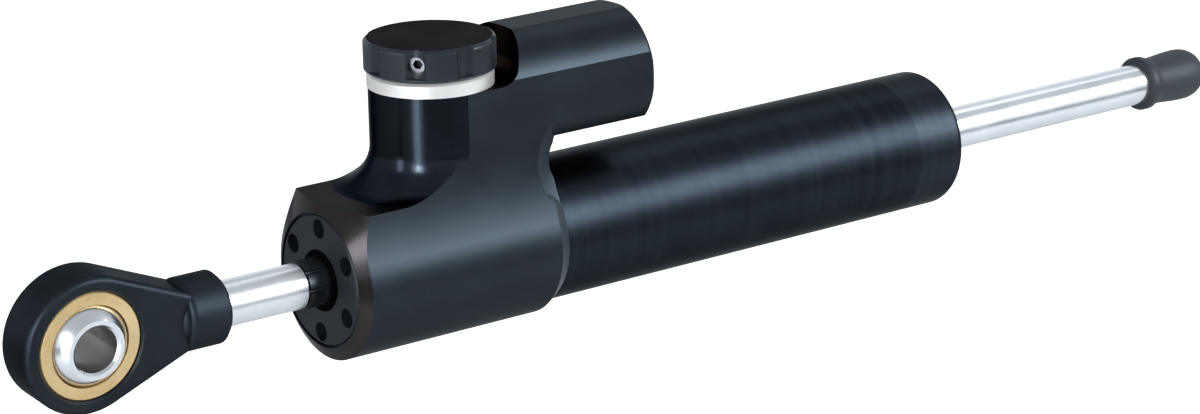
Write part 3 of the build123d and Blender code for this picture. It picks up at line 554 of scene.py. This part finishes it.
TUBE_BLACK = Finish(
    "Anodised tube", (0.0165, 0.0205, 0.0255), (0.0225, 0.0275, 0.0335), metallic=1.0, roughness=0.34, spread=0.02,
    marks=Marks.ALONG_ROD, density=5200.0, depth=0.006, grain=3000.0, grain_depth=0.003, speck=0.02, edge=0.5,
)
CAP_BLACK = Finish(
    "Anodised cap", (0.0245, 0.0295, 0.0355), (0.032, 0.038, 0.0455), metallic=1.0, roughness=0.36, spread=0.02,
    marks=Marks.ALONG_ROD, density=4300.0, depth=0.006, grain=3000.0, grain_depth=0.003, edge=0.55,
)
GLAND_BLACK = Finish(
    "Gland black", (0.006, 0.0075, 0.0095), (0.0095, 0.0115, 0.014), metallic=0.0, roughness=0.46,
    marks=Marks.FACING_ROD, density=2500.0, depth=0.003, grain=2600.0, grain_depth=0.004, specular=0.3,
)
KNOB_BLACK = Finish(
    "Knob satin", (0.0085, 0.0115, 0.015), (0.012, 0.0155, 0.02), metallic=0.0, roughness=0.38,
    grain=2600.0, grain_depth=0.003, specular=0.35,
)
KNOB_TOP_BLACK = Finish(
    "Knob top", (0.0011, 0.0012, 0.0014), (0.0017, 0.0018, 0.002), metallic=0.0, roughness=0.65, specular=0.03,
)
RING_SILVER = Finish(
    "Turned ring", (0.78, 0.73, 0.68), (0.86, 0.81, 0.76), metallic=0.6, roughness=0.4,
    marks=Marks.FACING_TOWER, density=3000.0, depth=0.003,
)
SLEEVE_SILVER = Finish(
    "Turned sleeve", (0.8, 0.79, 0.78), (0.88, 0.87, 0.86), metallic=1.0, roughness=0.27,
    marks=Marks.ALONG_ROD, density=1100.0, depth=0.002, grain=1500.0, grain_depth=0.004,
)
SLEEVE_EDGE = Finish(
    "Stained edge", (0.3, 0.24, 0.17), (0.42, 0.36, 0.29), metallic=1.0, roughness=0.4,
    grain=1800.0, grain_depth=0.02,
)
ROD_CHROME = Finish(
    "Ground rod", (0.86, 0.855, 0.85), (0.93, 0.925, 0.92), metallic=1.0, roughness=0.24,
    marks=Marks.ALONG_ROD, density=1300.0, depth=0.001,
)
ROD_END_GREY = Finish(
    "Rod end grey", (0.024, 0.029, 0.034), (0.03, 0.036, 0.0415), metallic=1.0, roughness=0.46,
    grain=2200.0, grain_depth=0.012, edge=0.45,
)
BRASS = Finish(
    "Turned brass", (0.58, 0.38, 0.16), (0.9, 0.68, 0.38), metallic=0.85, roughness=0.38, spread=0.08,
    marks=Marks.FACING_EYE, density=1400.0, depth=0.006, grain=1500.0, grain_depth=0.07, speck=0.04,
)
BALL_STEEL = Finish(
    "Polished ball", (0.74, 0.735, 0.73), (0.82, 0.815, 0.81), metallic=1.0, roughness=0.19,
    marks=Marks.FACING_EYE, density=2500.0, depth=0.004,
)
# Painted shade: the ball's bore is coloured far darker than the ball's own steel.
BALL_BORE_IN_SHADE = Finish(
    "Reamed bore in painted shade", (0.2, 0.185, 0.17), (0.3, 0.28, 0.26), metallic=1.0, roughness=0.3,
    marks=Marks.FACING_EYE, density=900.0, depth=0.004,
)
STEEL = Finish(
    "Ground steel", (0.5, 0.5, 0.51), (0.62, 0.62, 0.63), metallic=1.0, roughness=0.28,
    grain=2500.0, grain_depth=0.002,
)
BLACK_STEEL = Finish(
    "Black oxide steel", (0.085, 0.094, 0.102), (0.105, 0.115, 0.125), metallic=1.0, roughness=0.27,
    grain=2500.0, grain_depth=0.003, edge=0.7,
)
SCREW_STEEL = Finish(
    "Screw steel", (0.13, 0.13, 0.135), (0.2, 0.2, 0.205), metallic=1.0, roughness=0.34,
    grain=2500.0, grain_depth=0.004,
)
BARE_ALUMINIUM = Finish(
    "Bare aluminium", (0.62, 0.63, 0.65), (0.7, 0.71, 0.73), metallic=1.0, roughness=0.35,
    grain=2500.0, grain_depth=0.002,
)
BRONZE = Finish(
    "Sintered bronze", (0.42, 0.29, 0.15), (0.52, 0.36, 0.2), metallic=1.0, roughness=0.5,
    grain=2500.0, grain_depth=0.02,
)
NITRILE = Finish(
    "Nitrile", (0.008, 0.008, 0.008), (0.013, 0.013, 0.013), metallic=0.0, roughness=0.55,
    grain=2500.0, grain_depth=0.004,
)
BUMPER_RUBBER = Finish(
    "Bumper rubber", (0.014, 0.0175, 0.022), (0.02, 0.0245, 0.03), metallic=0.0, roughness=0.52,
    grain=1800.0, grain_depth=0.014,
)
PTFE = Finish(
    "Filled PTFE", (0.1, 0.17, 0.19), (0.14, 0.22, 0.24), metallic=0.0, roughness=0.5,
    grain=2500.0, grain_depth=0.004,
)


@dataclass
class SubAssembly:
    """CAD nodes that belong together, and what dresses them."""

    frame: Frame
    places: Places

    def dress(self, finishes: dict[str, Finish]) -> None:
        """Gives CAD nodes one finish each.

        Args:
            finishes: each node's name, and its finish.
        """
        for node, finish in finishes.items():
            mesh = self.frame["nodes"][node].data
            mesh.materials.clear()
            mesh.materials.append(finish.material(self.places))
            LOG.info("%s: %s", node, finish.name)

    def faces(self, node: str) -> tuple[np.ndarray, np.ndarray]:
        """Reads a CAD node's faces.

        Args:
            node: the node's name.

        Returns:
            The faces' centres and their normals, one row each.
        """
        mesh = self.frame["nodes"][node].data
        centres = np.empty(len(mesh.polygons) * 3)
        normals = np.empty(len(mesh.polygons) * 3)
        mesh.polygons.foreach_get("center", centres)
        mesh.polygons.foreach_get("normal", normals)
        return centres.reshape(-1, 3), normals.reshape(-1, 3)

    def paint(self, node: str, finishes: list[Finish], slots: np.ndarray) -> None:
        """Gives a CAD node several finishes.

        Args:
            node: the node's name.
            finishes: the finishes, in the order of the slots.
            slots: for each face, the number of its finish.
        """
        mesh = self.frame["nodes"][node].data
        mesh.materials.clear()
        for finish in finishes:
            mesh.materials.append(finish.material(self.places))
        mesh.polygons.foreach_set("material_index", slots.astype(np.int32))
        mesh.update()
        LOG.info("%s: %d faces in %d finishes", node, len(slots), len(np.unique(slots)))


@dataclass
class Body(SubAssembly):
    """The machined body with its gland, and the sizes that tell its areas apart.

    The fields that end in facing, and straight and level, are parts of a normal along one axis. A face is looked at
    by its centre, so near and flat allow for what the mesh leaves out of a curve.
    """

    floor_height: float = 13.3 * MM
    tower_radius: float = 10.85 * MM
    tower_top: float = 30.5 * MM
    scoop_radius: float = 15.2 * MM
    flare_radius: float = 7.0 * MM
    front_bore: float = 11.9 * MM
    cone_depth: float = 9.0 * MM
    tail_x: float = -41.2 * MM
    lip_depth: float = 6.0 * MM
    near: float = 0.06 * MM
    flat: float = 0.005 * MM
    level: float = 0.02
    straight: float = 0.99
    front_facing: float = -0.5
    back_facing: float = 0.2
    side_facing: float = 0.25

    def build(self) -> None:
        """Dresses the body by area, and the other nodes of its assembly."""
        finishes = {
            Zone.OUTSIDE: ANODISED, Zone.CONE: CONE_BROWN, Zone.FLOOR: FLOOR_BLACK, Zone.TOWER: TOWER_BLACK,
            Zone.SCOOP: SCOOP_BROWN, Zone.LIP: LIP_GREY, Zone.BORE: BORE_SHADE,
        }
        slots = self.areas(*self.faces("body_housing"))
        self.paint("body_housing", [finishes[zone] for zone in Zone], slots)
        self.dress({
            "front_gland": GLAND_BLACK, "front_gland_oring": NITRILE, "front_wiper": NITRILE,
            "front_rod_seal": NITRILE, "front_rod_bush": BRONZE, "front_seal_washer": STEEL,
            "reservoir_plug": GLAND_BLACK, "reservoir_plug_oring": NITRILE, "reservoir_snap_ring": STEEL,
            "reservoir_spring": STEEL, "reservoir_piston": BARE_ALUMINIUM, "reservoir_piston_oring": NITRILE,
            "valve_seat": BRASS, "valve_cartridge": BARE_ALUMINIUM, "cartridge_oring": NITRILE,
        })

    def areas(self, centres: np.ndarray, normals: np.ndarray) -> np.ndarray:
        """Sorts the body's faces into areas by where they lie and where they face.

        A face that fits several areas belongs to the last of them.

        Args:
            centres: the faces' centres, one row each.
            normals: the faces' normals, one row each.

        Returns:
            The number of each face's zone.
        """
        x, y, z = centres.T
        out_x, out_y, out_z = normals.T
        face_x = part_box("body_housing")[0].x
        valve_x = self.places.valve[0]
        from_rod = np.hypot(y, z)
        from_tower = np.hypot(x - valve_x, y)
        zone = np.full(len(x), Zone.OUTSIDE.value)

        # The tower's front half and its foot, without the long faces of the barrel beside them.
        along_rod = (np.abs(out_x) < self.level) & (out_z > self.level)
        tower = (z > self.floor_height + self.flat) & (x < valve_x + self.near) & ~along_rod
        tower &= from_tower > self.tower_radius - self.near
        zone[tower & (from_tower < self.tower_radius + self.flare_radius)] = Zone.TOWER.value

        # The flat floor in front of the tower, and the scoop round the knob.
        zone[(out_z > self.straight) & (np.abs(z - self.floor_height) < self.flat)] = Zone.FLOOR.value
        zone[(z > self.tower_top - self.near) & (from_tower < self.scoop_radius + self.near)] = Zone.SCOOP.value

        # The cone round the gland, and the turned lips at the skirt's end.
        front = (out_x < self.front_facing) & (x < face_x + self.cone_depth)
        front &= (from_rod > self.front_bore - self.near) & (z < self.floor_height + self.near)
        zone[front] = Zone.CONE.value
        back = (out_x > self.back_facing) & (out_x < self.straight)
        back &= (x > self.tail_x - self.lip_depth) & (x < self.tail_x + self.near)
        sideways = (np.abs(out_y) > self.side_facing) | (z < 0.0)
        zone[back & sideways & (from_rod > self.front_bore)] = Zone.LIP.value

        # The bore along the rod, whose faces look inwards, is painted in dark shade.
        outward = out_y * y + out_z * z > 0.0
        zone[(from_rod < self.front_bore + self.near) & ~outward] = Zone.BORE.value
        return zone


@dataclass
class Tube(SubAssembly):
    """The damper's tube, its end cap and what they hold."""

    def build(self) -> None:
        """Dresses the tube's nodes."""
        self.dress({
            "damper_tube": TUBE_BLACK, "end_cap": CAP_BLACK, "cylinder_liner": STEEL, "end_cap_oring": NITRILE,
            "rear_wiper": NITRILE, "rear_rod_seal": NITRILE, "rear_rod_bush": BRONZE, "rear_seal_washer": STEEL,
        })


@dataclass
class Adjuster(SubAssembly):
    """The knob on its click ring, and the valve's moving parts under it."""

    near: float = 0.05 * MM
    socket_radius: float = 0.85 * MM

    def build(self) -> None:
        """Dresses the adjuster's nodes, with the knob's top apart and the screw's socket painted in shade."""
        self.dress({
            "click_ring": RING_SILVER, "click_ball": STEEL, "click_spring": STEEL, "adjuster_spindle": STEEL,
            "spindle_oring": NITRILE, "metering_needle": STEEL,
        })
        # The screw's hexagonal socket is painted in dark shade.
        self.paint("knob_set_screw", [SCREW_STEEL, BORE_SHADE], self.in_socket())
        centres, _ = self.faces("adjuster_knob")
        top = centres[:, 2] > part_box("adjuster_knob")[1].z - self.near
        self.paint("adjuster_knob", [KNOB_BLACK, KNOB_TOP_BLACK], top)

    def in_socket(self) -> np.ndarray:
        """Finds the faces of the set screw's hexagonal socket.

        The screw points from the middle of the knob to the screw's own middle. A face lies in the socket where it is
        nearer to that line than socket_radius, and further out than the screw's middle.

        Returns:
            For each face, whether it lies in the socket.
        """
        low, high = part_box("knob_set_screw")
        middle = 0.5 * (np.array(low) + np.array(high))
        axis = middle - np.array([self.places.valve[0], self.places.valve[1], middle[2]])
        axis /= np.linalg.norm(axis)
        offset = self.faces("knob_set_screw")[0] - middle
        along = offset @ axis
        aside = np.linalg.norm(offset - np.outer(along, axis), axis=1)
        return (aside < self.socket_radius) & (along > 0.0)


@dataclass
class Rod(SubAssembly):
    """The rod with its coupler, sleeve, piston and bumper."""

    stain: float = 0.45 * MM

    def build(self) -> None:
        """Dresses the rod's nodes, with the sleeve's stained edge apart."""
        self.dress({
            "piston_rod": ROD_CHROME, "rod_coupler": BLACK_STEEL, "rod_bumper": BUMPER_RUBBER,
            "piston": BARE_ALUMINIUM, "piston_band": PTFE, "piston_oring": NITRILE, "piston_snap_rings": STEEL,
        })
        centres, _ = self.faces("spacer_sleeve")
        edge = centres[:, 0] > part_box("spacer_sleeve")[1].x - self.stain
        self.paint("spacer_sleeve", [SLEEVE_SILVER, SLEEVE_EDGE], edge)


@dataclass
class RodEnd(SubAssembly):
    """The spherical rod end, with the sizes of its seat and of the ball's bore."""

    seat_radius: float = 9.75 * MM
    bore_radius: float = 4.1 * MM

    def build(self) -> None:
        """Dresses the rod end's nodes, with its seat and the ball's bore painted in shade."""
        self.dress({"rod_end_race": BRASS})
        # The housing's seat and the ball's bore are painted in shade, darker than the outer faces.
        for node, outside, shade_inside, radius in (
            ("rod_end_housing", ROD_END_GREY, BORE_SHADE, self.seat_radius),
            ("rod_end_ball", BALL_STEEL, BALL_BORE_IN_SHADE, self.bore_radius),
        ):
            self.paint(node, [outside, shade_inside], self.from_axis(node) < radius)

    def from_axis(self, node: str) -> np.ndarray:
        """Measures how far a node's faces lie from the axis of the eye.

        The part of the offset that runs along the axis is taken out, and the length of the rest is the distance.

        Args:
            node: the node's name.

        Returns:
            The distance of each face's centre.
        """
        mount = {mount["name"]: mount for mount in self.frame["record"]["mounts"]}["eye_bore"]
        axis = np.array(mount["axis"])
        offset = self.faces(node)[0] - np.array(self.places.eye)
        return np.linalg.norm(offset - np.outer(offset @ axis, axis), axis=1)


def add_object(name: str, data: bpy.types.ID) -> bpy.types.Object:
    """Puts a new object into the scene.

    Args:
        name: the object's name.
        data: its mesh, lamp or camera.

    Returns:
        The object.
    """
    added = bpy.data.objects.new(name, data)
    bpy.context.scene.collection.objects.link(added)
    return added


@dataclass(frozen=True)
class SoftBox:
    """A rectangular soft light, aimed at the middle of the object."""

    name: str
    toward: Point
    distance: float
    width: float
    height: float
    radiance: float
    colour: Colour = COOL
    aim: Point = (-0.02, 0.0, 0.0)

    def build(self) -> None:
        """Adds the light. Its power is radiance times pi times its area."""
        lamp = bpy.data.lights.new(self.name, "AREA")
        lamp.shape = "RECTANGLE"
        lamp.size = self.width
        lamp.size_y = self.height
        lamp.energy = self.radiance * math.pi * self.width * self.height
        lamp.color = self.colour
        light = add_object(self.name, lamp)
        aim = Vector(self.aim)
        light.location = aim + Vector(self.toward).normalized() * self.distance
        light.rotation_euler = (aim - light.location).to_track_quat("-Z", "Y").to_euler()
        light.visible_camera = False


@dataclass
class Studio:
    """Camera, floor, world and soft boxes.

    The fields that end in levels are brightnesses, and each goes with the range of what it follows.
    """

    camera_place: Point = (-0.42149, -0.52113, 0.19828)
    camera_rows: tuple[Point, Point, Point] = (
        (0.79217, 0.18969, -0.58007),
        (-0.61003, 0.21776, -0.76187),
        (-0.01821, 0.95739, 0.28822),
    )
    lens: float = 114.72
    sensor: float = 36.0
    clip: Span = (0.01, 50.0)
    plain_level: float = 0.4
    room_heights: Span = (-0.25, 0.5)
    room_levels: Span = (1.0, 0.62)
    backdrop_direction: Point = (0.58, 0.76, -0.1)
    backdrop_range: Span = (0.55, 0.9)
    floor_height: float = -0.3
    floor_radius: float = 4.0
    floor_corners: int = 96
    floor_axes: Point = (1.0, 1.0, 0.0)
    floor_grey: float = 0.8
    floor_range: Span = (0.25, 0.8)
    floor_levels: Span = (0.35, 1.0)
    soft_boxes: list[SoftBox] = field(default_factory=lambda: [
        SoftBox("Key box", (0.58, -0.72, 0.39), distance=1.0, width=0.75, height=0.4, radiance=9.0),
        SoftBox("Left window", (-0.86, -0.45, 0.0), distance=0.9, width=0.15, height=0.6, radiance=9.0),
        SoftBox("Window pane", (-0.86, -0.45, 0.28), distance=0.9, width=0.13, height=0.2, radiance=34.0),
        SoftBox("Cone panel", (-0.985, 0.08, 0.14), distance=0.8, width=0.12, height=0.36, radiance=7.0),
        SoftBox("Top box", (0.6, 0.25, 0.76), distance=1.1, width=0.4, height=0.4, radiance=1.0),
    ])

    def build(self) -> None:
        """Builds the whole studio."""
        self.place_camera()
        self.light_world()
        self.lay_floor()
        for box in self.soft_boxes:
            box.build()
        bpy.context.scene.view_settings.view_transform = "Standard"

    def place_camera(self) -> None:
        """Puts the camera where the photograph was taken from."""
        data = bpy.data.cameras.new("Camera")
        data.sensor_width = self.sensor
        data.lens = self.lens
        data.clip_start, data.clip_end = self.clip
        camera = add_object("Camera", data)
        camera.matrix_world = Matrix.Translation(Vector(self.camera_place)) @ Matrix(self.camera_rows).to_4x4()
        bpy.context.scene.camera = camera

    def light_world(self) -> None:
        """Makes a world that is white to the camera, and to gloss a pale room that is darker above.

        Its brightness falls with the height of the direction looked at, through a smooth step. A second smooth step
        of how far that direction agrees with the backdrop's adds the white backdrop.
        """
        world = bpy.data.worlds.new("Studio")
        bpy.context.scene.world = world
        n = Nodes.of(world)
        direction = n.add("ShaderNodeTexCoord").outputs["Generated"]
        up = n.add("ShaderNodeSeparateXYZ", {0: direction}).outputs["Z"]
        room = n.ramp(up, self.room_heights, self.room_levels, smooth=True)
        ahead = n.vector_maths("DOT_PRODUCT", direction, self.backdrop_direction).outputs["Value"]
        backdrop = n.ramp(ahead, self.backdrop_range, WHOLE, smooth=True)
        gloss = n.maths("MAXIMUM", room, backdrop)
        path = n.add("ShaderNodeLightPath").outputs
        plain = n.add("ShaderNodeBackground", {"Color": COOL, "Strength": self.plain_level}).outputs[0]
        shiny = n.add("ShaderNodeBackground", {"Color": COOL, "Strength": gloss}).outputs[0]
        white = n.add("ShaderNodeBackground", {"Color": WHITE, "Strength": 1.0}).outputs[0]
        inner = n.add("ShaderNodeMixShader", {0: path["Is Glossy Ray"], 1: plain, 2: shiny}).outputs[0]
        outer = n.add("ShaderNodeMixShader", {0: path["Is Camera Ray"], 1: inner, 2: white}).outputs[0]
        n.add("ShaderNodeOutputWorld", {"Surface": outer})

    def lay_floor(self) -> None:
        """Lays a round pale floor that brightens to white away from the object, and keeps its shadow near it.

        The rim's points are the radius times the cosine and sine of equal steps of a full turn.
        """
        angles = np.linspace(0.0, 2.0 * math.pi, self.floor_corners, endpoint=False)
        rim = np.stack([np.cos(angles), np.sin(angles), np.zeros_like(angles)], 1) * self.floor_radius
        rim[:, 2] = self.floor_height
        mesh = bpy.data.meshes.new("Floor")
        mesh.from_pydata(rim.tolist(), [], [list(range(self.floor_corners))])
        floor = add_object("Floor", mesh)
        material = bpy.data.materials.new("Pale floor")
        n = Nodes.of(material)
        place = n.add("ShaderNodeTexCoord").outputs["Object"]
        level_place = n.vector_maths("MULTIPLY", place, self.floor_axes).outputs[0]
        away = n.vector_maths("LENGTH", level_place).outputs["Value"]
        glow = n.ramp(away, self.floor_range, self.floor_levels, smooth=True)
        seen = n.add("ShaderNodeLightPath").outputs["Is Camera Ray"]
        strength = n.maths("MULTIPLY", glow, seen)
        grey = (self.floor_grey, self.floor_grey, self.floor_grey)
        cloth = n.add("ShaderNodeBsdfDiffuse", {"Color": grey}).outputs[0]
        light = n.add("ShaderNodeEmission", {"Color": WHITE, "Strength": strength}).outputs[0]
        both = n.add("ShaderNodeAddShader", {0: cloth, 1: light}).outputs[0]
        n.add("ShaderNodeOutputMaterial", {"Surface": both})
        mesh.materials.append(material)


def main() -> None:
    """Loads the frame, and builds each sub-assembly and the studio."""
    logging.basicConfig(level=logging.INFO, format="%(name)s %(message)s")
    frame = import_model()
    places = Places.read(frame)
    for kind in (Body, Tube, Adjuster, Rod, RodEnd):
        kind(frame, places).build()
        LOG.info("built %s", kind.__name__)
    Studio().build()


if __name__ == "__main__":
    main()
